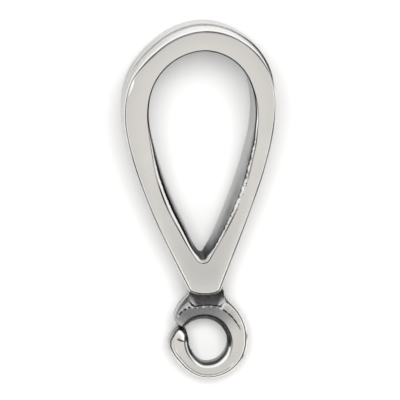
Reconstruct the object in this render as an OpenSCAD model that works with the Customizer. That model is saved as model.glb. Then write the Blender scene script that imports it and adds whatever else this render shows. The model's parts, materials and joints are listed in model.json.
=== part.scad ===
// Bail finding: a teardrop strap loop on a small open eye, cast in one piece.
// It lies on its rear face. +Y runs from the eye to the top of the loop, +Z is up,
// and the origin is at the middle of its footprint.

/* [Loop] */
// Length of the loop, from the bottom of its foot to its top
loop_len = 13.65; // [12.5:0.05:18]
// Width over the loop where it is widest
loop_w = 7.56; // [6.5:0.05:10]
// Height of the widest place above the bottom of the foot
wide_h = 9.24; // [8:0.05:10]
// Sideways bow of the loop at its middle
loop_bow = 0.28; // [0:0.02:0.5]
// Sideways lean of the loop at its top
loop_lean = 0.18; // [0:0.02:0.5]

/* [Strap] */
// Thickness of the strap at the top of the loop
strap_top = 1.15; // [0.9:0.05:1.5]
// Thickness of the strap where the loop is widest
strap_side = 1.14; // [0.9:0.05:1.5]
// Depth of the strap at the top, from face to face
depth_top = 3.7; // [2.8:0.05:5]
// Depth of the strap at the bottom of the foot
depth_foot = 2; // [1.6:0.05:2.5]
// Rise of the outer wall's crown
crown = 0.06; // [0:0.01:0.1]
// Rounding of the outer edges
edge_r = 0.09; // [0.03:0.01:0.15]
// Width of the bevel on the inner edges, where it is widest
bevel_w = 0.34; // [0.1:0.02:0.4]

/* [Foot] */
// Width of the foot at its bottom corners
foot_w = 1.78; // [1.3:0.02:2]
// Height of those corners above the bottom of the foot
foot_corner = 0.33; // [0.2:0.01:0.5]
// Height of the solid plate, from the bottom of the foot to the opening
plate_h = 1.98; // [1.5:0.05:3]

/* [Eye] */
// Radius of the eye's bore
bore_r = 1.13; // [0.8:0.01:1.4]
// Outer radius of the eye
eye_r = 1.95; // [1.7:0.01:2.4]
// Depth of the eye, from face to face
eye_depth = 1.2; // [0.9:0.05:1.5]
// How far the eye's rim is centred above its bore
eye_rise = 0.06; // [0:0.01:0.2]
// How far it is centred to the right of the bore, away from the split
eye_shift = 0.1; // [0:0.01:0.2]
// Rounding of the eye's rim
rim_r = 0.25; // [0.1:0.01:0.3]
// Bevel on the edges of the bore
bore_bevel = 0.08; // [0.04:0.01:0.12]
// Direction of the split in the eye, from +X
split_angle = 151; // [145:1:165]
// Width of the split
split_w = 0.1; // [0.06:0.01:0.2]
// Sideways distance from the foot's axis to the eye's
eye_offset = 0.16; // [0:0.02:0.4]

/* [Neck] */
// Length of the neck between the eye and the foot
neck_len = 0.41; // [0.2:0.01:0.8]
// Width of the neck
neck_w = 1.78; // [1.4:0.02:2]
// Depth of the neck, less than the eye's, so that it lies in a recess
neck_depth = 0.86; // [0.6:0.02:0.9]
// Width over the neck's shoulders, where they meet the eye
shoulder_w = 2.92; // [2.4:0.02:3.2]

/* [Hidden] */
$fn = 64;

// The finding is drawn with the bore's middle at 0, 0 and its middle plane at z = 0.
foot_y = eye_rise + eye_r + neck_len;
top_y = foot_y + loop_len;
wide_y = foot_y + wide_h;
apex_y = foot_y + plate_h;
taper = (depth_top - depth_foot) / 2 / loop_len;
tilt = atan(taper);

// Shape of each half of an outline, which runs from the top over the widest place to the
// foot. Columns: pull at the top as a share of the half width, pull above the widest place
// as a share of the rise, pulls below it and above the end as shares of the drop, and the
// slope of the leg at its end.
OUTER_PULLS = [0.52, 0.62, 0.244, 0.31, 0.414];
INNER_PULLS = [0.325, 0.80, 0.200, 0.26, 0.571];

// Lower corner of the opening: half its width and its height above the apex
APEX_HALF = 0.2;
APEX_RISE = 0.29;

// Steps along the crown, the leg and the end of each half
CROWN_STEPS = 14;
LEG_STEPS = 14;
END_STEPS = 5;

// Widths of the face's edges up the loop. Columns: height as a share of the loop's length,
// inner bevel as a share of bevel_w, outer rounding as a share of edge_r.
EDGES = [
    [0.00, 0.40, 1.8],
    [0.15, 0.50, 1.5],
    [0.25, 0.80, 1.1],
    [0.35, 1.00, 1.0],
    [0.45, 0.95, 1.0],
    [0.55, 0.60, 1.0],
    [0.65, 0.25, 1.0],
    [0.80, 0.22, 1.6],
    [0.92, 0.20, 2.2],
    [1.00, 0.18, 1.5]
];

// What the wedge trims off the swept strap, so that each face is one plane
TRIM = 0.005;

function cubic(p, t) =
    pow(1 - t, 3) * p[0] + 3 * pow(1 - t, 2) * t * p[1] + 3 * (1 - t) * t * t * p[2] + pow(t, 3) * p[3];
function cubic_slope(p, t) =
    pow(1 - t, 2) * (p[1] - p[0]) + 2 * (1 - t) * t * (p[2] - p[1]) + t * t * (p[3] - p[2]);

// The three curves of a half outline: crown, leg and end
function half_outline(half, top, corner, end_y, pulls) =
    let (drop = wide_y - corner.y, leg = [pulls[4], 1])
    [
        [[0, top], [pulls[0] * half, top], [half, wide_y + pulls[1] * (top - wide_y)], [half, wide_y]],
        [[half, wide_y], [half, wide_y - pulls[2] * drop], corner + pulls[3] * drop * leg, corner],
        [corner, corner - 0.6 * (corner.y - end_y) * leg, [0.5 * corner.x, end_y], [0, end_y]]
    ];

outer_curves = half_outline(loop_w / 2, top_y, [foot_w / 2, foot_y + foot_corner], foot_y, OUTER_PULLS);
inner_curves = half_outline(
    loop_w / 2 - strap_side, top_y - strap_top, [APEX_HALF, apex_y + APEX_RISE], apex_y, INNER_PULLS);

// Stations along a half, as the number of a curve and a share of its run
stations = concat(
    [for (i = [0 : CROWN_STEPS - 1]) [0, i / CROWN_STEPS]],
    [for (i = [0 : LEG_STEPS - 1]) [1, i / LEG_STEPS]],
    [for (i = [0 : END_STEPS]) [2, i / END_STEPS]]);

function place(curves, s) = cubic(curves[s[0]], s[1]);
// Unit normal of an outline, pointing away from the opening
function normal(curves, s) =
    let (d = cubic_slope(curves[s[0]], s[1])) [-d.y, d.x] / norm(d);

function half_depth(y) = depth_foot / 2 + (y - foot_y) * taper;
function up_loop(y) = min(1, max(0, (y - foot_y) / loop_len));
function axis_x(y) = -eye_offset - loop_lean * up_loop(y) - loop_bow * sin(180 * up_loop(y));
function edge(y, column) = lookup(up_loop(y), [for (row = EDGES) [row[0], row[column]]]);

// A point of a section: its place in the outline, its level as a share of the half depth,
// how far it drops below that, and the side of the loop that it is on
function strap_point(p, level, drop, side) =
    [side * p.x + axis_x(p.y), p.y, level * (half_depth(p.y) + TRIM) - drop];

// Front half of a section, from the middle of the outer wall over the face to the inner wall
function front_points(s, side) =
    let (
        o = place(outer_curves, s),
        i = place(inner_curves, s),
        no = -normal(outer_curves, s),
        ni = normal(inner_curves, s),
        r = edge_r * edge(o.y, 2),
        w = bevel_w * edge(i.y, 1)
    )
    [
        strap_point(o, 0, 0, side),
        strap_point(o + 0.25 * crown * no, 0.5, 0, side),
        strap_point(o + crown * no, 1, r, side),
        strap_point(o + (crown + 0.3 * r) * no, 1, 0.3 * r, side),
        strap_point(o + (crown + r) * no, 1, 0, side),
        strap_point(i + w * ni, 1, 0, side),
        strap_point(i + 0.45 * w * ni, 1, 0.6 * w, side),
        strap_point(i + 0.12 * w * ni, 0.5, 0, side),
        strap_point(i, 0, 0, side)
    ];

function section(s, side) =
    let (f = front_points(s, side))
    concat(f, [for (k = [len(f) - 2 : -1 : 1]) [f[k].x, f[k].y, -f[k].z]]);

sections = concat(
    [for (s = stations) section(s, 1)],
    [for (k = [len(stations) - 2 : -1 : 1]) section(stations[k], -1)]);

// Middle of the finding's footprint and height of its middle plane, once it lies on its face
strap_x = [for (ring = sections) for (p = ring) p.x];
strap_top_y = max([for (ring = sections) for (p = ring) p.y * cos(tilt) - p.z * sin(tilt)]);
eye_low_y = (eye_rise - eye_r + rim_r) * cos(tilt) - (eye_depth / 2 - rim_r) * sin(tilt) - rim_r;
middle_x = (min(strap_x) + max(strap_x)) / 2;
middle_y = (strap_top_y + eye_low_y) / 2;
lift = depth_foot / 2 * cos(tilt) - foot_y * sin(tilt);

// Sections joined into a closed loop
module swept_loop() {
    n = len(sections);
    m = len(sections[0]);
    points = [for (ring = sections) for (p = ring) p];
    faces = [
        for (a = [0 : n - 1]) for (k = [0 : m - 1])
            let (b = (a + 1) % n, l = (k + 1) % m)
            for (f = [[a * m + k, b * m + l, a * m + l], [a * m + k, b * m + k, b * m + l]]) f
    ];
    polyhedron(points, faces);
}

// The two faces, as a wedge that is deeper at the top
module wedge() {
    low = foot_y - 1;
    high = top_y + 1;
    rotate([90, 0, 90])
        linear_extrude(2 * loop_w, center = true)
            polygon([
                [low, -half_depth(low)], [high, -half_depth(high)],
                [high, half_depth(high)], [low, half_depth(low)]
            ]);
}

module strap() {
    intersection() {
        swept_loop();
        wedge();
    }
}

// Recessed neck, with shoulders that run out along the eye
module neck() {
    low = 0.3 * eye_r;
    halves = [
        [foot_w / 2 - edge_r, foot_y + foot_corner], [neck_w / 2, foot_y - 0.2 * neck_len],
        [shoulder_w / 2, 0.88 * eye_r], [0.86 * eye_r, 0.64 * eye_r], [0.7 * eye_r, low]
    ];
    // Its axis runs from the middle of the eye to the foot's
    function neck_x(y) = eye_shift - (eye_shift + eye_offset) * min(1, (y - low) / (foot_y - low));
    right = [for (h = halves) [neck_x(h.y) + h.x, h.y]];
    left = [for (k = [len(halves) - 1 : -1 : 0]) [neck_x(halves[k].y) - halves[k].x, halves[k].y]];
    translate([0, 0, -neck_depth / 2])
        linear_extrude(neck_depth)
            polygon(concat(right, left));
}

// Solid round of the eye, with a rounded rim
module eye() {
    translate([eye_shift, eye_rise, 0])
        rotate_extrude() {
            translate([0, -eye_depth / 2])
                square([eye_r - rim_r, eye_depth]);
            translate([0, rim_r - eye_depth / 2])
                square([eye_r, eye_depth - 2 * rim_r]);
            for (side = [-1, 1])
                translate([eye_r - rim_r, side * (eye_depth / 2 - rim_r)])
                    circle(rim_r);
        }
}

// Bore of the eye, with its edges bevelled
module bore() {
    cylinder(r = bore_r, h = 2 * eye_depth, center = true);
    for (side = [0, 1])
        mirror([0, 0, side])
            translate([0, 0, eye_depth / 2 - bore_bevel])
                cylinder(r1 = bore_r, r2 = bore_r + 2 * bore_bevel, h = 2 * bore_bevel);
}

// Split of the eye, between the stub's flat end and the free end's round nose
module split() {
    wall = eye_r + eye_shift * cos(split_angle) + eye_rise * sin(split_angle) - bore_r;
    nose_r = wall / 2;
    nose_y = split_w + nose_r;
    nose_x = sqrt(pow(bore_r + nose_r, 2) - pow(nose_y, 2));
    rotate(split_angle)
        linear_extrude(2 * eye_depth, center = true)
            difference() {
                translate([bore_r / 2, 0])
                    square([eye_r, nose_y]);
                translate([nose_x, nose_y])
                    circle(nose_r);
            }
}

module bail() {
    color("silver")
        translate([-middle_x, -middle_y, lift])
            rotate([tilt, 0, 0])
                difference() {
                    union() {
                        strap();
                        neck();
                        eye();
                    }
                    bore();
                    split();
                }
}

bail();
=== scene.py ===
"""Looks of a cast silver pendant bail: a teardrop strap loop on a small open eye."""

import json
import math

import bmesh
import bpy
from bpy.props import FloatProperty, FloatVectorProperty, PointerProperty
from mathutils import Matrix, Vector
from mathutils.kdtree import KDTree


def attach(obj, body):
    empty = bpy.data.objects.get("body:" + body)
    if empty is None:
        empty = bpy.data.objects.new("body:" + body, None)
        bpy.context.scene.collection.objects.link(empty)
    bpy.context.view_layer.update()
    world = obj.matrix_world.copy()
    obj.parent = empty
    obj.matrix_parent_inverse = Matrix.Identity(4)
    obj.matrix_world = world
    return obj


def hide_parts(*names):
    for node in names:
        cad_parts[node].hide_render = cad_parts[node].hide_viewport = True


bl_info = {
    "name": "Pendant Bail",
    "version": (1, 0, 0),
    "blender": (4, 5, 0),
    "location": "View3D > Sidebar > Bail",
    "description": "Models and finishes a cast silver pendant bail around its CAD frame",
    "category": "Object",
}

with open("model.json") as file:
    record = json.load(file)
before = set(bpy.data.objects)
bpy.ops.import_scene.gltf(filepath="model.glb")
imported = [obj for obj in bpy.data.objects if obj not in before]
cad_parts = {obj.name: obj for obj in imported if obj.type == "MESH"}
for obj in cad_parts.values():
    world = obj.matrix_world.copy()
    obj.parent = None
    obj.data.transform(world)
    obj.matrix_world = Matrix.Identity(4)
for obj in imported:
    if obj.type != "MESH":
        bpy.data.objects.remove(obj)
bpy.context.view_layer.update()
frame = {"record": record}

MM = 0.001

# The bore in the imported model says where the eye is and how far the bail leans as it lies
BORE = next(m for m in frame["record"]["mounts"] if m["name"] == "eye_bore")
EYE_AT = Vector(BORE["pos_m"])
TILT = math.atan2(-BORE["axis"][1], BORE["axis"][2])
PLACE = Matrix.Translation(EYE_AT) @ Matrix.Rotation(TILT, 4, "X")


# Sizes and colours

def length(name, description, millimetres):
    return FloatProperty(name=name, description=description, default=millimetres * MM, min=0.0,
                         precision=5, unit="LENGTH")


def tint(name, description, rgb):
    return FloatVectorProperty(name=name, description=description, default=rgb, size=3,
                               subtype="COLOR", min=0.0, max=1.0)


class BAIL_PG_strap(bpy.types.PropertyGroup):
    loop_length: length("Loop length", "From the bottom of the foot to the top of the loop", 13.65)
    loop_width: length("Loop width", "Over the loop where it is widest", 7.56)
    widest: length("Widest place", "Height of the widest place above the foot", 9.24)
    thick_top: length("Thickness at top", "Of the strap at the top of the loop", 1.15)
    thick_side: length("Thickness at side", "Of the strap where the loop is widest", 1.14)
    depth_top: length("Depth at top", "From face to face at the top of the loop", 3.7)
    depth_foot: length("Depth at foot", "From face to face at the bottom of the foot", 2.0)
    crown: length("Crown", "Rise of the outer wall's ridge", 0.04)
    edge: length("Edge rounding", "Of the outer edges", 0.09)
    bevel: length("Inner bevel", "On the inner edges, where it is widest", 0.43)
    bow: length("Bow", "Sideways bow of the loop at its middle", 0.28)
    lean: length("Lean", "Sideways lean of the loop at its top", 0.18)
    foot_width: length("Foot width", "At the bottom corners of the foot", 1.78)
    foot_corner: length("Foot corner", "Height of those corners above the bottom", 0.33)
    plate: length("Foot plate", "From the bottom of the foot to the opening", 1.98)


class BAIL_PG_eye(bpy.types.PropertyGroup):
    foot_at: length("Foot above eye", "From the middle of the bore to the foot", 2.42)
    depth: length("Depth", "Of the eye from face to face", 1.2)
    offset: length("Offset", "Sideways distance from the foot's axis to the bore", 0.16)
    nose: length("Nose", "Length of the round nose at the free end", 0.76)


class BAIL_PG_finish(bpy.types.PropertyGroup):
    silver: tint("Silver", "Colour of the polished silver", (0.86, 0.846, 0.82))
    # The oxide and film colours paint shade and dark reflections on the silver, as well as oxide
    oxide: tint("Oxide", "Colour of the dark recesses", (0.035, 0.035, 0.036))
    shade_film: tint("Oxide film", "Colour of the thin oxide", (0.265, 0.270, 0.280))
    cast: tint("Cast skin", "Colour of the unpolished inner wall", (0.455, 0.455, 0.455))


# Curves and tables

def clamp(x):
    return max(0.0, min(1.0, x))


def cubic(points, t):
    a, b, c, d = points
    u = 1 - t
    return a * u ** 3 + b * 3 * u * u * t + c * 3 * u * t * t + d * t ** 3


def cubic_slope(points, t):
    a, b, c, d = points
    u = 1 - t
    return (b - a) * u * u + (c - b) * 2 * u * t + (d - c) * t * t


def from_table(table, x, column=1):
    """Value of a table at x, on a smooth curve through its rows."""
    rows = sorted(table)
    if x <= rows[0][0]:
        return rows[0][column]
    if x >= rows[-1][0]:
        return rows[-1][column]
    slopes = [(q[column] - p[column]) / (q[0] - p[0]) for p, q in zip(rows, rows[1:])]
    for k, (p, q) in enumerate(zip(rows, rows[1:])):
        if x <= q[0]:
            break
    before = slopes[k - 1] if k > 0 else slopes[k]
    after = slopes[k + 1] if k + 1 < len(slopes) else slopes[k]
    start = 0.0 if before * slopes[k] <= 0 else 2 * before * slopes[k] / (before + slopes[k])
    end = 0.0 if after * slopes[k] <= 0 else 2 * after * slopes[k] / (after + slopes[k])
    span = q[0] - p[0]
    t = (x - p[0]) / span
    return (p[column] * (1 + 2 * t) * (1 - t) ** 2 + q[column] * t * t * (3 - 2 * t)
            + span * (start * t * (1 - t) ** 2 - end * t * t * (1 - t)))


# Modelling by hand

def deselect():
    if bpy.context.object and bpy.context.object.mode != "OBJECT":
        bpy.ops.object.mode_set(mode="OBJECT")
    bpy.ops.object.select_all(action="DESELECT")


def in_edit(piece):
    return bmesh.from_edit_mesh(piece.data)


# Marks that each point carries: how dark its painted shade and oxide are, how far it is left as
# cast, and how pitted it is
MARKS = ("oxide", "cast", "pitted")

# Points closer than this are merged, in mm
MERGE = 0.0005


def pulled_loops(name, loops):
    """A round of edges, pulled out loop by loop. Each point has its place in mm and its marks."""
    deselect()
    bpy.ops.mesh.primitive_circle_add(vertices=len(loops[0]), radius=MM)
    piece = bpy.context.object
    piece.name = name
    piece.data.name = name
    bpy.ops.object.mode_set(mode="EDIT")
    bm = in_edit(piece)
    bm.verts.layers.int.new("number")
    for mark in MARKS:
        bm.verts.layers.float.new(mark)
    number = bm.verts.layers.int["number"]
    bm.verts.ensure_lookup_table()
    for k, vert in enumerate(bm.verts):
        vert[number] = k
    for step, loop in enumerate(loops):
        if step:
            bpy.ops.mesh.extrude_region_move()
        bm = in_edit(piece)
        number = bm.verts.layers.int["number"]
        layers = [bm.verts.layers.float[mark] for mark in MARKS]
        for vert in bm.verts:
            if vert.select:
                point, values = loop[vert[number]]
                vert.co = point * MM
                for layer, value in zip(layers, values):
                    vert[layer] = value
        bmesh.update_edit_mesh(piece.data)
    return piece


def union(body, other):
    """Join a second closed piece to the first. Each vertex keeps the marks it had."""
    old = [(v.co.copy(), [mark.data[k].value for mark in marks(piece)])
           for piece in (body, other) for k, v in enumerate(piece.data.vertices)]
    tree = KDTree(len(old))
    for k, (co, _) in enumerate(old):
        tree.insert(co, k)
    tree.balance()
    deselect()
    bpy.context.view_layer.objects.active = body
    body.select_set(True)
    join = body.modifiers.new("Union", "BOOLEAN")
    join.operation = "UNION"
    join.solver = "EXACT"
    join.object = other
    bpy.ops.object.modifier_apply(modifier=join.name)
    bpy.data.objects.remove(other)
    for k, vert in enumerate(body.data.vertices):
        values = old[tree.find(vert.co)[1]][1]
        for mark, value in zip(marks(body), values):
            mark.data[k].value = value


def marks(piece):
    return [piece.data.attributes[name] for name in MARKS]


def outward():
    """Merge the doubles of the piece in edit mode, and turn every face outwards."""
    bpy.ops.mesh.select_all(action="SELECT")
    bpy.ops.mesh.remove_doubles(threshold=MERGE * MM)
    bpy.ops.mesh.normals_make_consistent(inside=False)
    bpy.ops.object.mode_set(mode="OBJECT")


# Strap loop

# Where a table has one row of values for each side, 1 is the right side and -1 the left one.
# Pulls of a half outline: at the top as a share of the half width, above the widest place as
# a share of the rise, below it and above the end as shares of the drop, then the leg's slope
OUTER_PULLS = {1: (0.56, 0.665, 0.244, 0.31, 0.414), -1: (0.50, 0.60, 0.244, 0.31, 0.414)}
INNER_PULLS = (0.325, 0.80, 0.200, 0.26, 0.571)

# Pulls of the end below the leg, as a share of its height and of its half width
END_PULLS = (0.6, 0.5)

# Bottom corner of the opening, in mm from its lowest point: half width and height
APEX_HALF = 0.26
APEX_RISE = 0.29

# Steps along the crown, the leg and the end of each half
CROWN_STEPS = 44
LEG_STEPS = 90
END_STEPS = 16

# Unevenness of each side of the casting by height as a share of the loop's length, in mm: how
# far its outer edge is in, how far its inner edge stands into the opening, how far the rear
# half of its outer wall stands out, and then how dark the painted line along the outer edge is,
# a painted dark reflection, and how much painted shade darkens the front half of the wall
UNEVEN = {
    1: ((0.0, 0.05, 0.0, 0.02, 0.1, 0.16), (0.27, 0.05, 0.0, 0.02, 0.85, 0.16),
        (0.42, 0.05, -0.02, 0.02, 1.0, 0.16), (0.55, 0.08, 0.0, 0.02, 1.0, 0.16),
        (0.65, 0.11, 0.0, 0.03, 0.9, 0.16), (0.75, 0.08, 0.0, 0.08, 0.2, 0.2),
        (0.82, 0.08, 0.0, 0.10, 0.4, 0.25), (0.90, 0.12, 0.0, 0.08, 0.9, 0.3),
        (0.96, 0.15, 0.0, 0.05, 0.55, 0.2), (0.99, 0.11, 0.0, 0.04, 0.85, 0.14),
        (1.0, 0.08, 0.0, 0.04, 0.9, 0.14)),
    -1: ((0.0, 0.05, 0.0, 0.02, 0.1, 0.16), (0.16, 0.05, 0.0, 0.02, 0.4, 0.16),
         (0.27, 0.05, 0.11, 0.02, 0.7, 0.16), (0.42, 0.05, 0.12, 0.03, 0.95, 0.16),
         (0.55, 0.03, 0.13, 0.03, 0.85, 0.16), (0.65, -0.01, 0.09, 0.03, 0.7, 0.3),
         (0.80, -0.08, 0.0, 0.02, 0.8, 0.5), (0.88, 0.04, 0.0, 0.04, 0.85, 0.4),
         (0.93, 0.09, 0.0, 0.04, 0.75, 0.36), (0.99, 0.09, 0.0, 0.04, 0.85, 0.16),
         (1.0, 0.08, 0.0, 0.04, 0.9, 0.14)),
}

# Widths of the face's edges up the loop: height as a share of the loop's length, inner bevel
# as a share of its widest, and outer rounding as a share of the named one
EDGES = (
    (0.00, 0.38, 1.8), (0.15, 0.52, 1.5), (0.25, 0.80, 1.1), (0.35, 1.00, 1.0), (0.45, 0.90, 1.0),
    (0.55, 0.52, 1.0), (0.65, 0.25, 1.0), (0.80, 0.18, 0.7), (0.92, 0.17, 1.6), (1.00, 0.17, 1.5),
)

# Width of the right side's inner bevel as a share of that, and how far its dark foot is moved
# toward the face as a share of its width, by height as a share of the loop's length
RIGHT_BEVEL = (
    (0.17, 1.0, 0.0), (0.24, 1.0, 0.11), (0.41, 1.1, 0.15), (0.49, 1.25, 0.12), (0.55, 1.6, 0.1),
    (0.61, 1.9, 0.06), (0.67, 1.9, 0.0), (0.78, 1.0, 0.0),
)

# Ragged edge of the inner bevel's dark foot: waves over the loop's length, and their height as
# a share of the bevel's width. Then the height as a share of the loop's length where they end.
JAGS = ((97.0, 0.02), (263.0, 0.03), (617.0, 0.035))
JAGS_TO = 0.6

# How ragged and how pitted each side's inner bevel is, as a share of the right one
JAGGED = {1: 1.0, -1: 0.35}
PITTED = {1: 1.0, -1: 0.25}

# Pits in the inner bevel up the loop, by height as a share of its length
PITS = ((0.0, 0.1), (0.15, 0.3), (0.3, 0.9), (0.5, 0.8), (0.62, 0.2), (0.7, 0.0))

# Painted shade on the inner wall above the foot plate, in the bottom of the opening, by height as a
# share of the loop's length
APEX_SHADE = ((0.14, 0.85), (0.165, 0.8), (0.20, 0.25), (0.28, 0.0))

# Painted dark lines, for shade and dark reflections: along the foot of each side's inner bevel,
# and the thin one along the face's edge, by height as a share of the loop's length
PAINTED_LINES = {
    1: ((0.13, 0.0, 1.0), (0.16, 0.1, 1.0), (0.20, 0.95, 0.8), (0.26, 0.9, 0.9),
        (0.34, 0.85, 0.7), (0.38, 0.85, 0.0), (0.43, 0.85, 0.0), (0.47, 0.9, 0.6),
        (0.52, 0.95, 0.9), (0.60, 0.9, 0.9), (1.0, 0.9, 0.9)),
    -1: ((0.13, 0.0, 1.0), (0.16, 0.1, 1.0), (0.21, 1.0, 1.0), (0.40, 1.0, 1.0), (0.50, 0.95, 0.6),
         (0.60, 0.9, 0.9), (1.0, 0.9, 0.9)),
}

# Slope of each side's inner bevel as a share of the usual one, and how much of its dark foot
# the bright part takes over, by height as a share of the loop's length
BEVEL_FORM = {
    1: ((0.155, 1.6, 1.0), (0.185, 0.9, 0.1), (0.3, 0.95, 0.15), (0.38, 1.15, 0.3),
        (0.48, 1.15, 0.2), (0.56, 1.0, 0.0)),
    -1: ((0.155, 1.6, 1.0), (0.185, 0.9, 0.0), (0.5, 0.85, -0.15)),
}

# Fine groove along the outer wall's ridge and where the ledge beside it ends, in mm, and the
# painted shade that draws it as a dark line: the least, and each side's share of the wall's that is
# added
GROOVE = 0.03
LEDGE_AT = 0.11
LEDGE_LEAST = 0.4
LEDGE_DARK = {1: 1.5, -1: 0.7}

# Points of the groove: how far in as a share of its depth, how far toward the face in mm, and
# painted shade as a share of the groove's
GROOVE_POINTS = ((1.0, 0.0, 1.0), (0.9, 0.05, 1.0), (0.3, 0.08, 0.4), (0.0, LEDGE_AT, 0.0))

# Points of the crown: how far in as a share of its rise, height as a share of the half depth,
# and painted shade, a darker reflection, as a share of the wall's
CROWN_POINTS = ((0.22, 0.3, 1.2), (0.55, 0.65, 1.0))

# Steps round the outer edge, and how dark the painted line, a dark reflection, is at each of them
ROUND_STEPS = 5
EDGE_DARK = (0.0, 0.2, 1.0, 1.0, 0.7, 0.1)

# How the two painted dark lines vary up the loop: waves over its length, and their depth
EDGE_WAVES = (31, 0.13)
BEVEL_WAVES = (41, 0.15)

# Worn part of the left outer edge, in mm, by height as a share of the loop's length, its
# slope, and the points across it as shares of its width
SOFT = ((0.75, 0.006), (0.765, 0.07), (0.785, 0.12), (0.80, 0.12), (0.813, 0.04), (0.825, 0.006))
SOFT_SLOPE = 0.34
SOFT_POINTS = (0.12, 0.88, 1.0)

# Flat face: its points from the outer to the inner edge, how far inside those edges it begins
# and how far it stands up in its middle, both in mm
FACE_POINTS = (0.0, 0.1, 0.3, 0.5, 0.7, 0.9, 1.0)
FACE_IN = 0.012
DOME = 0.012

# Painted shade on the face, a darker reflection: at the foot, the height where it ends, and its
# share at the face's edges. Then along the outer edge, and the share of the face's width where that
# ends
FACE_SHADE = 0.26
FACE_SHADE_TO = 0.42
FACE_SHADE_EDGES = 0.75
MARGIN = 0.09
MARGIN_TO = 0.6

# Above this height a narrow inner bevel is painted dark all over, as shade: width in mm where that
# begins, and how much narrower it is where it is complete
NARROW_ABOVE = 0.5
NARROW_AT = 0.2
NARROW_OVER = 0.1

# Inner bevel from the face's edge to its dark foot, in shares of its width: the end of the thin
# dark line, where the bright part begins, the foot, how far the bright part moves the foot, and
# the first dark point below it
LINE_TO = 0.85
LINE_DROP = 0.01
BRIGHT_FROM = 0.80
BRIGHT_DROP = 0.03
FOOT_AT = 0.53
FOOT_DROP = 0.12
FOOT_BACK = 0.3
DARK_POINT_BELOW = 0.03
DARK_POINT_DROP = 0.14
DARK_POINT_CAST = 0.3

# How much painted shade greys each side's bright part and how much more low down, the height where
# that more ends, and over how much of the height it fades
GREY = {1: (0.05, 0.2), -1: (0.12, 0.0)}
GREY_TO = 0.38
GREY_OVER = 0.1

# Points below the foot, as shares of the bevel's width: place from the foot, then what it takes
# of the jags, of the bright part and of the foot's move, and the drop
BELOW_FOOT = (
    (-0.13, -1.0, 0.08, 0.45, 0.26), (-0.22, 0.0, 0.12, 0.73, 0.42), (-0.33, 0.0, 0.20, 1.13, 0.56),
)

# Painted shade of the last two of those: how fast a moved foot clears the first of the two, then
# how dark the second is and how fast that clears
SHADE_CLEARS = 7
END_DARK = 0.2
END_CLEARS = 1.2

# Points of the inner wall: place as a share of the bevel's width, what it takes of the foot's
# move, height as a share of the half depth, drop as a share of the width, and least painted shade
INNER_WALL = (
    (0.08, 1.83, 1.0, 0.95, 0.05), (0.03, 0.0, 0.45, 0.0, 0.05), (0.0, 0.0, 0.0, 0.0, 0.1),
)

# Rear half of the outer wall: its painted shade, a darker reflection of the shaded paper beside it,
# by height as a share of the loop's length, and its number of points from the groove to the rear
# face
REAR_SHADE = ((0.0, 0.24), (0.7, 0.26), (0.9, 0.32), (1.0, 0.33))
OUTER_WALL = 11


def half_outline(half, top, corner, end, widest, pulls):
    """Crown, leg and end of a half outline, as cubic curves."""
    drop = widest - corner.y
    leg = Vector((pulls[4], 1.0))
    return (
        (Vector((0, top)), Vector((pulls[0] * half, top)),
         Vector((half, widest + pulls[1] * (top - widest))), Vector((half, widest))),
        (Vector((half, widest)), Vector((half, widest - pulls[2] * drop)),
         corner + pulls[3] * drop * leg, corner),
        (corner, corner - END_PULLS[0] * (corner.y - end) * leg,
         Vector((END_PULLS[1] * corner.x, end)), Vector((0, end))),
    )


def varied(line, waves, up, turn):
    """A dark line's strength, made uneven up the loop."""
    number, depth = waves
    return line * (1 - depth + depth * math.sin(number * up + turn))


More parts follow.
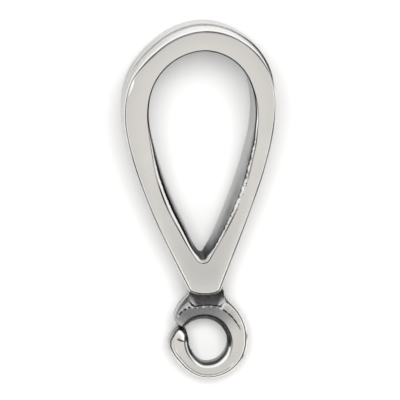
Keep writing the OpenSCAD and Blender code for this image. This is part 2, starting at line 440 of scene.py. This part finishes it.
def strap_rings(s, foot_at, offset):
    """Rings of section points around the loop, each a list of points and marks."""
    top = foot_at + s["loop_length"]
    widest = foot_at + s["widest"]
    apex = foot_at + s["plate"]
    taper = (s["depth_top"] - s["depth_foot"]) / 2 / s["loop_length"]
    crown = s["crown"]

    def share(y):
        return clamp((y - foot_at) / s["loop_length"])

    def axis_x(y):
        return -offset - s["lean"] * share(y) - s["bow"] * math.sin(math.pi * share(y))

    def half_depth(y):
        return s["depth_foot"] / 2 + (y - foot_at) * taper

    def outer_edge(add, side, o, into):
        """Front half of the outer wall and the outer edge. Gives how far in they reach."""
        up = share(o.y)
        band = from_table(UNEVEN[side], up, 5)
        ledge = LEDGE_LEAST + LEDGE_DARK[side] * band
        for at, rise, dark in GROOVE_POINTS:
            add(o + at * GROOVE * into, 0, -rise, dark * ledge)
        for at, level, dark in CROWN_POINTS:
            add(o + at * crown * into, level, 0, dark * band)
        r = s["edge"] * from_table(EDGES, up, 2)
        soft = from_table(SOFT, up) if side < 0 else SOFT[0][1]
        line = varied(from_table(UNEVEN[side], up, 4), EDGE_WAVES, up, side)
        for k in range(ROUND_STEPS + 1):
            a = math.pi / 2 * k / ROUND_STEPS
            add(o + (crown + r * (1 - math.cos(a))) * into, 1,
                SOFT_SLOPE * soft + r * (1 - math.sin(a)), line * EDGE_DARK[k])
        for at in SOFT_POINTS:
            add(o + (crown + r + at * soft) * into, 1, (1 - at) * SOFT_SLOPE * soft)
        return crown + r + soft

    def face(add, begin, end, up):
        """Flat face between its two edges."""
        # Painted shade: the face's reflection made darker toward the foot and along its outer edge
        shaded = FACE_SHADE * max(0.0, 1 - up / FACE_SHADE_TO)
        for t in FACE_POINTS:
            middle = 1 - (2 * t - 1) ** 2
            margin = MARGIN * max(0.0, 1 - t / MARGIN_TO)
            shade_film = shaded * (FACE_SHADE_EDGES + (1 - FACE_SHADE_EDGES) * middle)
            add(begin.lerp(end, t), 1, -DOME * middle, max(shade_film, margin))

    def inner_edge(add, side, i, off, w, moved):
        """Inner bevel, its dark foot and the front half of the inner wall."""
        up = share(i.y)
        pits = from_table(PITS, up) * PITTED[side]
        narrow = clamp((NARROW_AT - w) / NARROW_OVER) if up > NARROW_ABOVE else 0.0
        ragged = JAGGED[side] if up < JAGS_TO else 0.0
        jag = sum(height * math.sin(wave * up + 1) for wave, height in JAGS) * ragged
        deep = from_table(APEX_SHADE, up)
        foot_shade = from_table(PAINTED_LINES[side], up)
        thin = varied(from_table(PAINTED_LINES[side], up, 2), BEVEL_WAVES, up, 2 * side)
        steep = w * from_table(BEVEL_FORM[side], up)
        bright = from_table(BEVEL_FORM[side], up, 2)
        grey = GREY[side][0] + GREY[side][1] * clamp((GREY_TO - up) / GREY_OVER)
        foot = FOOT_AT + moved + jag - FOOT_BACK * bright
        add(i + w * off, 1, 0, thin, 0, pits)
        add(i + LINE_TO * w * off, 1, LINE_DROP * w, max(thin, narrow), 0, pits)
        add(i + BRIGHT_FROM * w * off, 1, BRIGHT_DROP * steep, max(grey, narrow), 0, pits)
        add(i + foot * w * off, 1, FOOT_DROP * steep, max(grey, narrow), 0, pits)
        add(i + (foot - DARK_POINT_BELOW) * w * off, 1, DARK_POINT_DROP * steep, foot_shade, DARK_POINT_CAST)
        below = (foot_shade, foot_shade * (1 - SHADE_CLEARS * moved), max(END_DARK - END_CLEARS * moved, deep))
        for (at, jags, lit, move, drop), dark in zip(BELOW_FOOT, below):
            place = foot + at + jags * jag + lit * bright + move * moved
            add(i + place * w * off, 1, drop * w, dark, 1.0)
        for at, move, level, drop, dark in INNER_WALL:
            add(i + (at + move * moved) * w * off, level, drop * w, max(dark, deep), 1.0)

    def section(side, o, i, into, off):
        """Points and marks around the strap, from the groove by way of the front face.

        It spans from o on the outer outline to i on the inner one. From these, into and off
        point into the strap, at right angles to the outlines.
        """
        front = []

        def add(p, level, drop=0.0, oxide=0.0, cast=0.0, pitted=0.0):
            point = Vector((side * p.x + axis_x(p.y), p.y, level * half_depth(p.y) - drop))
            front.append((point, (oxide, cast, pitted)))

        w = s["bevel"] * from_table(EDGES, share(i.y), 1)
        moved = 0.0
        if side > 0:
            w *= from_table(RIGHT_BEVEL, share(i.y), 1)
            moved = from_table(RIGHT_BEVEL, share(i.y), 2)
        begin = outer_edge(add, side, o, into) + FACE_IN
        face(add, o + begin * into, i + (w + FACE_IN) * off, share(o.y))
        inner_edge(add, side, i, off, w, moved)

        rear = [(Vector((p.x, p.y, -min(p.z, half_depth(p.y)))), m) for p, m in front[-2:0:-1]]
        out = -from_table(UNEVEN[side], share(o.y), 3) * into
        # Painted shade on the rear half of the outer wall
        wall_shade = from_table(REAR_SHADE, share(o.y))
        for k in range(-OUTER_WALL, 0):
            p, m = rear[k]
            move = out * min(1.0, -p.z / LEDGE_AT)
            rear[k] = (p + Vector((side * move.x, move.y, 0)), (max(m[0], wall_shade), *m[1:]))
        return front + rear

    stations = [(0, k / CROWN_STEPS) for k in range(CROWN_STEPS)]
    stations += [(1, k / LEG_STEPS) for k in range(LEG_STEPS)]
    stations += [(2, k / END_STEPS) for k in range(END_STEPS + 1)]

    rings = []
    for side, halves in ((1, stations), (-1, stations[-2:0:-1])):
        outer = half_outline(s["loop_width"] / 2, top,
                             Vector((s["foot_width"] / 2, foot_at + s["foot_corner"])), foot_at,
                             widest, OUTER_PULLS[side])
        inner = half_outline(s["loop_width"] / 2 - s["thick_side"], top - s["thick_top"],
                             Vector((APEX_HALF, apex + APEX_RISE)), apex, widest, INNER_PULLS)
        for curve, t in halves:
            o = cubic(outer[curve], t)
            i = cubic(inner[curve], t)
            slope = cubic_slope(outer[curve], t).normalized()
            into = Vector((slope.y, -slope.x))
            slope = cubic_slope(inner[curve], t).normalized()
            off = Vector((-slope.y, slope.x))
            o += from_table(UNEVEN[side], share(o.y), 1) * into
            i -= from_table(UNEVEN[side], share(i.y), 2) * off
            rings.append(section(side, o, i, into, off))
    return rings


# Eye with its neck

# Radii of the eye by angle from the bore's +X, counter-clockwise: edge of the flat face,
# outer edge, height of the outer edge as a share of the half depth, and the bulge between the
# two, from 2 where it is round to under 1 where it is hollow
EYE_OUTER = (
    (150.5, 1.64, 1.72, 0.60, 2.5), (148.7, 1.72, 1.83, 0.55, 2.6), (143.0, 1.91, 2.03, 0.50, 2.8),
    (135.0, 2.03, 2.18, 0.50, 3.0), (127.0, 2.07, 2.30, 0.50, 3.0), (118.0, 2.06, 2.43, 0.50, 2.0),
    (112.0, 1.99, 2.55, 0.60, 0.7), (108.0, 1.90, 2.78, 0.66, 0.40), (98.0, 1.88, 2.76, 0.66, 0.35),
    (82.0, 1.89, 2.76, 0.66, 0.35), (73.5, 1.90, 2.77, 0.66, 0.40), (71.0, 1.90, 2.52, 0.60, 0.6),
    (66.0, 1.88, 2.40, 0.50, 1.5), (59.0, 1.85, 2.33, 0.40, 3.0), (49.0, 1.82, 2.26, 0.35, 3.6),
    (35.0, 1.79, 2.17, 0.35, 3.6), (22.0, 1.80, 2.11, 0.40, 3.0), (4.0, 1.80, 2.055, 0.50, 2.2),
    (-12.0, 1.78, 2.03, 0.58, 2.0), (-30.0, 1.76, 2.00, 0.58, 2.0), (-65.0, 1.70, 1.93, 0.58, 2.0),
    (-97.0, 1.66, 1.87, 0.58, 2.0), (-118.0, 1.58, 1.80, 0.58, 2.0),
    (-139.0, 1.53, 1.76, 0.58, 2.0),
    (-163.0, 1.62, 1.86, 0.58, 2.2), (-174.0, 1.66, 1.94, 0.50, 2.2),
    (-183.0, 1.63, 1.93, 0.45, 2.2), (-195.0, 1.56, 1.86, 0.40, 2.0),
    (-212.0, 1.50, 1.84, 0.40, 2.0),
)

# Radius of the bore, width of its bevel, and drop of the bevel as a share of that, by angle
EYE_INNER = (
    (150.5, 1.41, 0.12, 1.0), (135.0, 1.36, 0.16, 1.0), (117.0, 1.27, 0.23, 1.0),
    (96.0, 1.19, 0.26, 1.0), (76.0, 1.13, 0.26, 1.0), (55.0, 1.08, 0.25, 1.0),
    (30.0, 1.035, 0.22, 1.0), (5.0, 1.045, 0.20, 0.9), (-18.0, 1.09, 0.18, 0.5),
    (-45.0, 1.15, 0.21, 0.48), (-70.0, 1.19, 0.20, 0.5), (-95.0, 1.18, 0.17, 0.5),
    (-119.0, 1.06, 0.17, 0.48), (-140.0, 0.95, 0.19, 0.4), (-165.0, 0.92, 0.20, 0.36),
    (-184.0, 0.93, 0.20, 0.4), (-212.0, 0.97, 0.14, 0.5),
)

# Painted shade, standing in for dark reflections: on the face of the upper arc, in the neck's
# recess with its middle, and on the shoulders, by angle
ARC_SHADE = (
    (-170.0, 0.0), (-120.0, 0.10), (-60.0, 0.12), (14.0, 0.05), (24.0, 0.08), (38.0, 0.28),
    (55.0, 0.58), (85.0, 0.75), (125.0, 0.76), (137.0, 0.68), (144.0, 0.42), (150.5, 0.35),
)
NECK_SHADE = ((66.0, 0.0), (70.0, 0.9), (74.0, 1.0), (108.0, 1.0), (112.0, 0.8), (116.0, 0.0))
NECK_MIDDLE = 91.0
SHOULDER_SHADE = (
    (-208.0, 0.85), (-195.0, 0.75), (-185.0, 0.6), (-172.0, 0.5), (-158.0, 0.15), (-148.0, 0.0),
    (20.0, 0.0), (45.0, 0.26), (60.0, 0.36), (68.0, 0.5), (74.0, 0.9), (108.0, 0.9), (114.0, 0.88),
    (125.0, 0.85), (142.0, 0.75), (150.5, 0.65),
)

# Painted dark line along the edge of the eye's face, a dark reflection, by angle, and the painted
# highlights on it: angle, half width in degrees and strength
EDGE_LINE = (
    (-178.0, 0.0), (-162.0, 0.3), (-110.0, 0.5), (-55.0, 0.4), (-30.0, 0.0), (16.0, 0.0),
    (26.0, 0.7), (40.0, 1.0), (66.0, 1.0), (72.0, 0.5), (108.0, 0.5), (114.0, 1.0),
    (134.0, 1.0), (141.0, 0.0),
)
EDGE_SPOTS = (
    (136.5, 1.0, 0.8), (127.0, 0.8, 0.5), (120.0, 1.1, 0.8), (113.2, 1.6, 1.0), (106.0, 0.9, 0.6),
    (96.4, 1.7, 1.0), (91.5, 0.6, 0.5), (85.0, 1.1, 0.7), (76.0, 0.7, 0.5), (69.2, 2.6, 1.0),
    (57.0, 0.7, 0.5), (44.0, 0.6, 0.4), (33.0, 0.7, 0.5),
)

# That line's depth, and how far it reaches inward and outward from the edge, all in mm
EDGE_DEPTH = 0.03
EDGE_IN = 0.03
EDGE_OUT = 0.02

# Front half of the bore's wall: heights as shares of the half depth, with painted shade. Then how
# far
# it is left as cast, and its last point: how far below the bevel in mm, painted shade and cast skin
BORE_WALL = ((0.0, 1.0), (0.25, 1.0), (0.5, 0.95))
BORE_CAST = 0.6
BORE_TOP = (0.02, 0.95, 0.4)

# Section of the bore's bevel: shares of its width and of its drop, and of the face's painted shade
CHAMFER = (
    (0.0, 1.0, 1.0), (0.06, 0.90, 1.0), (0.35, 0.60, 0.6), (0.65, 0.30, 0.6), (0.94, 0.03, 1.0),
)

# Eye's flat face: its points from the bevel to the edge, how far inside those two it begins
# and ends, and how far it stands up in its middle, in mm
EYE_FACE = (0.0, 0.06, 0.25, 0.5, 0.75, 0.92, 1.0)
EYE_FACE_IN = (0.02, 0.045)
EYE_DOME = 0.5 * DOME

# Dents on the rim, drawn only as painted shade: angle, half width in degrees and strength
RIM_DENTS = ((9.0, 5.5, 0.7), (-23.0, 5.5, 0.7))

# How many steps of the bore's rounding are painted dark as shade, and how dark the painted line
# around it is, by angle
BORE_DARK = (
    (150.5, 2.0), (120.0, 1.3), (90.0, 1.3), (45.0, 1.3), (5.0, 1.6), (-15.0, 0.9), (-40.0, 0.6),
    (-110.0, 1.1), (-130.0, 2.0), (-150.0, 2.6), (-175.0, 2.6), (-208.0, 2.6),
)
BORE_RIM = (
    (150.5, 0.9), (100.0, 1.0), (45.0, 0.95), (10.0, 0.9), (-20.0, 0.6), (-50.0, 0.1),
    (-110.0, 0.1), (-135.0, 0.7), (-160.0, 0.9), (-208.0, 0.8),
)

# Painted shade on the rear half of the bore's wall
BORE_REAR = 0.6

# Slope between the edge of the face and the outer edge: its steps, how far outside the face's
# edge it begins in mm, and how much of the face's painted shade runs down it, over how many steps.
# Then how many steps the painted highlights cover, and after how many the painted dents set in.
SLOPE_STEPS = 8
SLOPE_IN = 0.03
SLOPE_SHADE = 0.7
SLOPE_FADE = 3
SPOT_STEPS = 2
DENT_AFTER = 2

# How much wider the neck's recess is at its outer edge, its painted shade at the face's edge and
# how much more there is at the outer one, and how quickly the painted shade on the shoulders sets
# in
NECK_WIDER = 0.35
RECESS = 0.86
RECESS_MORE = 0.13
SHOULDER_RISE = 0.7

# Front half of the eye's outer wall: height as a share of the outer edge's, and painted shade as a
# share of the recess's
EYE_WALL = ((0.55, 0.6), (0.0, 0.4))

# Ends of the ring by angle, the chamfer on the stub as a share of the section, and how many
# degrees of the stub and what last share of the nose are painted dark, as shade in the split
# between them
STUB_END = 147.0
FREE_END = -211.5
STUB_CHAMFER = 0.06
STUB_DARK = 2.0
NOSE_DARK = 0.07

# Steps along the ring in degrees, finer ones from an angle on, and its middle radius in mm
EYE_STEP = 1.6
NECK_STEP = 0.8
NECK_FROM = 60.0
EYE_MIDDLE = 1.5

# Nose: its sections as shares of its length, how much of its height it loses by the tip, how
# late that sets in, how square the drop at the tip is, and its least width and height
NOSE_STEPS = (
    0.02, 0.04, 0.06, 0.08, 0.095, 0.11, 0.13, 0.15, 0.2, 0.27, 0.35, 0.44, 0.53, 0.62, 0.7, 0.77,
    0.83, 0.88, 0.92, 0.95, 0.975, 0.99, 1.0,
)
NOSE_DROP = 0.5
NOSE_BEND = 1.25
NOSE_SQUARE = 9
NOSE_LEAST = 0.02

# How far its top is domed across, and the share of its length where that is complete
NOSE_DOME = 0.14
DOMED_FROM = 0.3

# Dark line across its top: place along the nose in the ring's middle and how much further it is
# at the outer edge, width, strength, and where across the ring it ends and how soon. It lies
# only inside a share of the width, and above a share of the half depth.
MARK_AT = 0.13
MARK_LEAN = 0.22
MARK_WIDTH = 0.065
MARK_DARK = 1.3
MARK_END = 0.28
MARK_FADE = 0.2
MARK_INSIDE = 0.75
MARK_ABOVE = 0.8


def eye_stations(nose_angle):
    """Angles of the sections, closer where the neck stands and along the nose."""
    angles = [STUB_END]
    nose_from = FREE_END + nose_angle
    while angles[-1] > nose_from:
        step = NECK_STEP if angles[-1] > NECK_FROM else EYE_STEP
        angles.append(max(nose_from, angles[-1] - step))
    return angles + [nose_from - nose_angle * past for past in NOSE_STEPS]


def spot(spots, angle):
    """How far an angle lies in one of the spots."""
    return max(strength * math.exp(-((angle - at) / width) ** 2) for at, width, strength in spots)


def eye_rings(half, nose):
    """Sections around the eye, from the stub's end to the tip of the free end."""
    nose_angle = math.degrees(nose / EYE_MIDDLE)
    nose_from = FREE_END + nose_angle

    def section(angle, shrink=0.0):
        face, outer, low, bulge = (from_table(EYE_OUTER, angle, c) for c in (1, 2, 3, 4))
        bore, bevel, drop = (from_table(EYE_INNER, angle, c) for c in (1, 2, 3))
        drop *= bevel
        low *= half
        past = clamp((nose_from - angle) / nose_angle)
        narrow = math.sqrt(max(0.0, 1 - past ** 2)) if past else 1.0
        narrow = max(narrow, NOSE_LEAST) - shrink
        flat = (1 - NOSE_DROP * past ** NOSE_BEND) * math.sqrt(max(0.0, 1 - past ** NOSE_SQUARE))
        flat = max(flat, NOSE_LEAST) - shrink
        ends = max(0.0, (past - (1 - NOSE_DARK)) / NOSE_DARK,
                   (angle - STUB_END + STUB_DARK) / STUB_DARK)
        middle = (bore + outer) / 2
        dark_steps = from_table(BORE_DARK, angle)
        arc = from_table(ARC_SHADE, angle)
        light = spot(EDGE_SPOTS, angle)
        line = from_table(EDGE_LINE, angle) * (1 - light)
        dent = spot(RIM_DENTS, angle)
        rim = from_table(BORE_RIM, angle)
        front = []

        def add(r, z, oxide, cast=0.0):
            across = (r - middle) / (outer - middle)
            z *= 1 - NOSE_DOME * across ** 2 * min(1.0, past / DOMED_FROM)
            if past and abs(across) < MARK_INSIDE and z > MARK_ABOVE * half:
                off_line = (past - (MARK_AT + MARK_LEAN * across)) / MARK_WIDTH
                strength = MARK_DARK * clamp((MARK_END - across) / MARK_FADE)
                oxide = max(oxide, strength * math.exp(-off_line ** 2))
            r = middle + (r - middle) * narrow
            a = math.radians(angle)
            front.append((Vector((r * math.cos(a), r * math.sin(a), z * flat)),
                          (max(oxide, ends), cast, 0.0)))

        for up, dark in BORE_WALL:
            add(bore, up * half, dark, BORE_CAST)
        add(bore, half - drop - BORE_TOP[0], *BORE_TOP[1:])
        for k, (along, down, shade_film) in enumerate(CHAMFER):
            at_rim = k == len(CHAMFER) - 1
            add(bore + bevel * along, half - drop * down,
                max(arc * shade_film, rim * at_rim, clamp(dark_steps + 0.5 - k)))

        begin = bore + bevel + EYE_FACE_IN[0]
        end = face - EYE_FACE_IN[1]
        for t in EYE_FACE:
            add(begin + (end - begin) * t, half + EYE_DOME * (1 - (2 * t - 1) ** 2),
                max(rim * (t == 0.0), arc * (1 - light * (t == 1.0))))
        edge = half - EDGE_DEPTH * line
        for r in (face - EDGE_IN, face + EDGE_OUT):
            add(r, edge, max(line, arc * (1 - light)))

        for k in range(SLOPE_STEPS + 1):
            t = math.pi / 2 * k / SLOPE_STEPS
            r = face + SLOPE_IN + (outer - face - SLOPE_IN) * math.sin(t) ** (2 / bulge)
            z = low + (edge - low) * math.cos(t) ** (2 / bulge)
            up = (r - face) / (outer - face)
            wider = NECK_MIDDLE + (angle - NECK_MIDDLE) * (1 + NECK_WIDER - NECK_WIDER * up)
            recess = from_table(NECK_SHADE, wider) * (RECESS + RECESS_MORE * up)
            recess *= 1 - light * (k < SPOT_STEPS)
            shoulder = from_table(SHOULDER_SHADE, angle) * up ** SHOULDER_RISE
            add(r, z, max(SLOPE_SHADE * arc * (1 - k / SLOPE_FADE) * (1 - light), recess,
                          shoulder, dent * (DENT_AFTER < k < SLOPE_STEPS)))
        for up, dark in EYE_WALL:
            add(outer, up * low, dark * max(recess, shoulder))

        rear = [(Vector((p.x, p.y, -p.z)), m) for p, m in front[-2:0:-1]]
        for k in range(-len(BORE_WALL), 0):
            rear[k] = (rear[k][0], (max(ends, BORE_REAR), BORE_CAST, 0.0))
        return front + rear

    return [section(STUB_END, STUB_CHAMFER)] + [section(a) for a in eye_stations(nose_angle)]


# Shader nodes

class Maths:
    """A socket that can be used in sums."""

    def __init__(self, nodes, socket):
        self.nodes = nodes
        self.socket = socket

    def _do(self, operation, *values):
        return self.nodes.add("ShaderNodeMath", {"operation": operation}, *values, out="Value")

    def __add__(self, other):
        return self._do("ADD", self, other)

    def __sub__(self, other):
        return self._do("SUBTRACT", self, other)

    def __mul__(self, other):
        return self._do("MULTIPLY", self, other)

    def __rsub__(self, other):
        return self._do("SUBTRACT", other, self)

    __radd__ = __add__
    __rmul__ = __mul__

    def clamped(self):
        return self.nodes.add("ShaderNodeClamp", {}, self, 0.0, 1.0, out="Result")

    def at_least(self, other):
        return self._do("MAXIMUM", self, other)

    def ramp(self, low, high):
        return self.nodes.add("ShaderNodeMapRange", {"interpolation_type": "SMOOTHSTEP"}, self,
                              low, high, 0.0, 1.0, out="Result")


class Nodes:
    """The node tree of a material or a world."""

    def __init__(self, owner):
        self.owner = owner
        owner.use_nodes = True
        self.tree = owner.node_tree
        self.tree.nodes.clear()

    def node(self, kind, settings, *values, **named):
        """A node with its settings, and the values or links of its sockets. None skips one."""
        node = self.tree.nodes.new(kind)
        for key, value in settings.items():
            if key == "stops":
                ramp = node.color_ramp
                while len(ramp.elements) < len(value):
                    ramp.elements.new(1.0)
                for element, (at, colour) in zip(ramp.elements, value):
                    element.position = at
                    element.color = (*colour, 1.0)
            else:
                setattr(node, key, value)
        for key, value in list(enumerate(values)) + list(named.items()):
            socket = node.inputs[key.replace("_", " ") if isinstance(key, str) else key]
            if isinstance(value, Maths):
                self.tree.links.new(value.socket, socket)
            elif value is not None:
                socket.default_value = value
        return node

    def add(self, kind, settings, *values, out=0, **named):
        return Maths(self, self.node(kind, settings, *values, **named).outputs[out])

    def mix(self, factor, *colours):
        """A mix of two colours, which are the node's seventh and eighth sockets."""
        a, b = ((*c, 1.0) if isinstance(c, tuple) else c for c in colours)
        return self.add("ShaderNodeMix", {"data_type": "RGBA"}, factor, *[None] * 5, a, b, out=2)

    def mark(self, name):
        return self.add("ShaderNodeAttribute", {"attribute_name": name}, out="Fac")

    def noise(self, place, scale, detail, rough):
        return self.add("ShaderNodeTexNoise", {}, out="Fac", Vector=place, Scale=scale,
                        Detail=detail, Roughness=rough)

    def finish(self, shader, kind="ShaderNodeOutputMaterial"):
        self.node(kind, {}, Surface=shader)
        return self.owner


# Noise on the silver and the paper: how fine it is, its detail and its roughness
SILVER_NOISE = {
    "speckle": (9000.0, 3.0, 0.6), "fine": (26000.0, 2.0, 0.5), "cloud": (900.0, 2.0, 0.5),
    "wave": (320.0, 2.0, 0.4), "fleck": (8500.0, 3.0, 0.7),
}
PAPER_NOISE = (1500.0, 3.0, 0.6)

# What the painted shade and oxide take from their mark and from speckles, the noise that makes a
# fleck and its strength, how soon the light dark colour covers the silver, and from where the
# darkest one does
DARK_EVEN = 0.9
DARK_SPECKLE = 0.2
FLECK = (0.55, 0.61)
FLECK_DARK = 0.9
SHADE_FILM_SPEED = 1.3
FULL_SHADE = (0.7, 1.0)

# Roughness of clean silver and what else adds to it, and the heights of the bump in mm
ROUGH = {"clean": 0.18, "cloud": 0.08, "fine": 0.06, "cast": 0.22, "oxide": 0.3}
BUMP = {"wave": 0.08, "fine": 0.0006, "speckle": 0.0007, "cast": 0.0017}

# Paper: its two whites, how much the second shows, its roughness and its gloss
PAPER_WHITES = ((0.83, 0.83, 0.83), (0.85, 0.85, 0.85))
PAPER_GRAIN = 0.5
PAPER_ROUGH = 0.9
PAPER_GLOSS = 0.1


def silver_material(finish):
    """Polished silver, darkened by its mark of painted shade and oxide in recesses and along edges.
    """
    n = Nodes(bpy.data.materials.new("Silver"))
    at = n.add("ShaderNodeTexCoord", {}, out="Object")
    oxide = n.mark("oxide")
    cast = n.mark("cast")
    speckle, fine, cloud, wave, fleck = (n.noise(at, *noise) for noise in SILVER_NOISE.values())
    flecks = fleck.ramp(*FLECK) * n.mark("pitted")
    dark = (oxide * (DARK_EVEN + speckle * DARK_SPECKLE)).at_least(flecks * FLECK_DARK).clamped()
    bright = n.mix(cast, tuple(finish.silver), tuple(finish.cast))
    shade_film = n.mix((dark * SHADE_FILM_SPEED).clamped(), bright, tuple(finish.shade_film))
    colour = n.mix(dark.ramp(*FULL_SHADE), shade_film, tuple(finish.oxide))
    rough = ROUGH["clean"] + (cloud - 0.5) * ROUGH["cloud"] + (fine - 0.5) * ROUGH["fine"]
    rough = rough + cast * ROUGH["cast"] + dark * ROUGH["oxide"]
    height = (wave * BUMP["wave"] + fine * BUMP["fine"]
              + speckle * (BUMP["speckle"] + cast * BUMP["cast"]))
    bump = n.add("ShaderNodeBump", {}, out="Normal", Strength=1.0, Distance=MM, Height=height)
    shader = n.add("ShaderNodeBsdfPrincipled", {}, out="BSDF", Base_Color=colour, Metallic=1.0,
                   Roughness=rough, Normal=bump)
    return n.finish(shader)


def paper_material():
    n = Nodes(bpy.data.materials.new("White paper"))
    at = n.add("ShaderNodeTexCoord", {}, out="Object")
    colour = n.mix(n.noise(at, *PAPER_NOISE) * PAPER_GRAIN, *PAPER_WHITES)
    shader = n.add("ShaderNodeBsdfPrincipled", {}, out="BSDF", Base_Color=colour,
                   Roughness=PAPER_ROUGH, Specular_IOR_Level=PAPER_GLOSS)
    return n.finish(shader)


# Studio: how bright it is by the sine of the height above the horizon
STUDIO = (
    (0.00, (0.02, 0.02, 0.02)), (0.56, (0.03, 0.03, 0.03)), (0.63, (0.8, 0.8, 0.8)),
    (0.70, (1.35, 1.34, 1.32)), (0.80, (1.30, 1.29, 1.27)), (0.88, (0.79, 0.78, 0.76)),
    (0.93, (0.745, 0.732, 0.71)), (1.00, (0.80, 0.79, 0.775)),
)


def studio_world():
    n = Nodes(bpy.data.worlds.new("Studio"))
    at = n.add("ShaderNodeTexCoord", {}, out="Generated")
    height = n.add("ShaderNodeSeparateXYZ", {}, at, out="Z")
    colour = n.add("ShaderNodeValToRGB", {"stops": STUDIO}, height, out="Color")
    return n.finish(n.add("ShaderNodeBackground", {}, colour, 1.0), "ShaderNodeOutputWorld")


# Operators

# Faces that meet at more than this many degrees keep a sharp edge
SMOOTH_TO = 32


def sizes(group):
    """The sizes of a property group, in millimetres."""
    return {key: getattr(group, key) / MM for key in group.__annotations__}


class BAIL_OT_body(bpy.types.Operator):
    """Model the strap loop and the eye and join them into one casting"""
    bl_idname = "bail.body"
    bl_label = "Cast body"

    def execute(self, context):
        scene = context.scene
        strap = sizes(scene.bail_strap)
        eye = sizes(scene.bail_eye)

        rings = strap_rings(strap, eye["foot_at"], eye["offset"])
        loops = [[ring[k] for ring in rings] for k in range(len(rings[0]))]
        body = pulled_loops("bail_casting", loops + [loops[0]])
        outward()

        loops = eye_rings(eye["depth"] / 2, eye["nose"])
        ring = pulled_loops("bail_eye", loops)
        bpy.ops.mesh.edge_face_add()
        bpy.ops.mesh.select_all(action="DESELECT")
        bm = in_edit(ring)
        for vert in bm.verts:
            vert.select = vert.index < len(loops[0])
        bm.select_flush(True)
        bmesh.update_edit_mesh(ring.data)
        bpy.ops.mesh.edge_face_add()
        outward()

        union(body, ring)
        body.data.transform(PLACE)
        body.data.materials.clear()
        body.data.materials.append(silver_material(scene.bail_finish))
        bpy.ops.object.shade_smooth_by_angle(angle=math.radians(SMOOTH_TO))
        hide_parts("bail")
        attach(body, "root")
        return {"FINISHED"}


# Camera: how far its axis leans from straight down toward the loop's top and to the left,
# its roll, its distance, the width that the picture spans there, and where the bore's middle
# is seen, from the picture's middle
LEAN_TO_TOP = 8.0
LEAN_TO_LEFT = 4.0
ROLL = 0.8
DISTANCE = 150.0
SPAN = 20.12
BORE_SEEN = (0.322, -7.037)
SENSOR = 36.0

# How near and how far the camera sees, and the paper's width, in mm
NEAR = 5.0
FAR = 2000.0
PAPER = 600.0

# The one light: place and sizes in mm, and power in watts
LIGHT_AT = (-6, 37, 143)
LIGHT_SIZE = (120, 76)
LIGHT_POWER = 0.187


def area_light(name, at, size, power):
    """A rectangular light that faces the middle of the footprint and isn't seen in the metal."""
    deselect()
    bpy.ops.object.light_add(type="AREA", location=Vector(at) * MM)
    light = bpy.context.object
    light.name = name
    light.data.shape = "RECTANGLE"
    light.data.size = size[0] * MM
    light.data.size_y = size[1] * MM
    light.data.energy = power
    light.rotation_euler = (-Vector(at)).to_track_quat("-Z", "Y").to_euler()
    light.visible_glossy = False


def camera_place():
    """Where the camera stands, and its axes as the columns of a turn."""
    lean = Vector((-math.sin(math.radians(LEAN_TO_LEFT)), math.sin(math.radians(LEAN_TO_TOP)), 0))
    lean.z = math.sqrt(1 - lean.length_squared)
    right = Vector((0, math.cos(TILT), math.sin(TILT))).cross(lean).normalized()
    up = lean.cross(right)
    turn = math.radians(ROLL)
    right, up = (right * math.cos(turn) + up * math.sin(turn),
                 up * math.cos(turn) - right * math.sin(turn))
    at = EYE_AT + (lean * DISTANCE - right * BORE_SEEN[0] - up * BORE_SEEN[1]) * MM
    return at, Matrix((right, up, lean)).transposed()


class BAIL_OT_stage(bpy.types.Operator):
    """Lay the paper, hang the light and set up the camera"""
    bl_idname = "bail.stage"
    bl_label = "Stage"

    def execute(self, context):
        scene = context.scene
        deselect()
        bpy.ops.mesh.primitive_plane_add(size=PAPER * MM, location=(0, 0, 0))
        paper = context.object
        paper.name = "paper"
        paper.data.materials.append(paper_material())

        at, axes = camera_place()
        deselect()
        bpy.ops.object.camera_add(location=at)
        camera = context.object
        camera.matrix_world = Matrix.Translation(at) @ axes.to_4x4()
        camera.data.type = "PERSP"
        camera.data.sensor_width = SENSOR
        camera.data.lens = SENSOR * DISTANCE / SPAN
        camera.data.clip_start = NEAR * MM
        camera.data.clip_end = FAR * MM
        scene.camera = camera

        area_light("soft_top", LIGHT_AT, LIGHT_SIZE, LIGHT_POWER)
        scene.world = studio_world()
        scene.view_settings.view_transform = "Standard"
        scene.view_settings.look = "None"
        return {"FINISHED"}


class BAIL_PT_panel(bpy.types.Panel):
    bl_idname = "BAIL_PT_panel"
    bl_label = "Pendant Bail"
    bl_space_type = "VIEW_3D"
    bl_region_type = "UI"
    bl_category = "Bail"

    def draw(self, context):
        layout = self.layout
        for group in GROUPS:
            owner = getattr(context.scene, group)
            box = layout.box()
            for key in owner.__annotations__:
                box.prop(owner, key)
        for operator in (BAIL_OT_body, BAIL_OT_stage):
            layout.operator(operator.bl_idname)


GROUPS = {"bail_strap": BAIL_PG_strap, "bail_eye": BAIL_PG_eye, "bail_finish": BAIL_PG_finish}
CLASSES = (*GROUPS.values(), BAIL_OT_body, BAIL_OT_stage, BAIL_PT_panel)


def register():
    for cls in CLASSES:
        bpy.utils.register_class(cls)
    for name, cls in GROUPS.items():
        setattr(bpy.types.Scene, name, PointerProperty(type=cls))


def unregister():
    for name in GROUPS:
        delattr(bpy.types.Scene, name)
    for cls in reversed(CLASSES):
        bpy.utils.unregister_class(cls)


def main():
    register()
    bpy.ops.bail.body()
    bpy.ops.bail.stage()


if __name__ == "__main__":
    main()
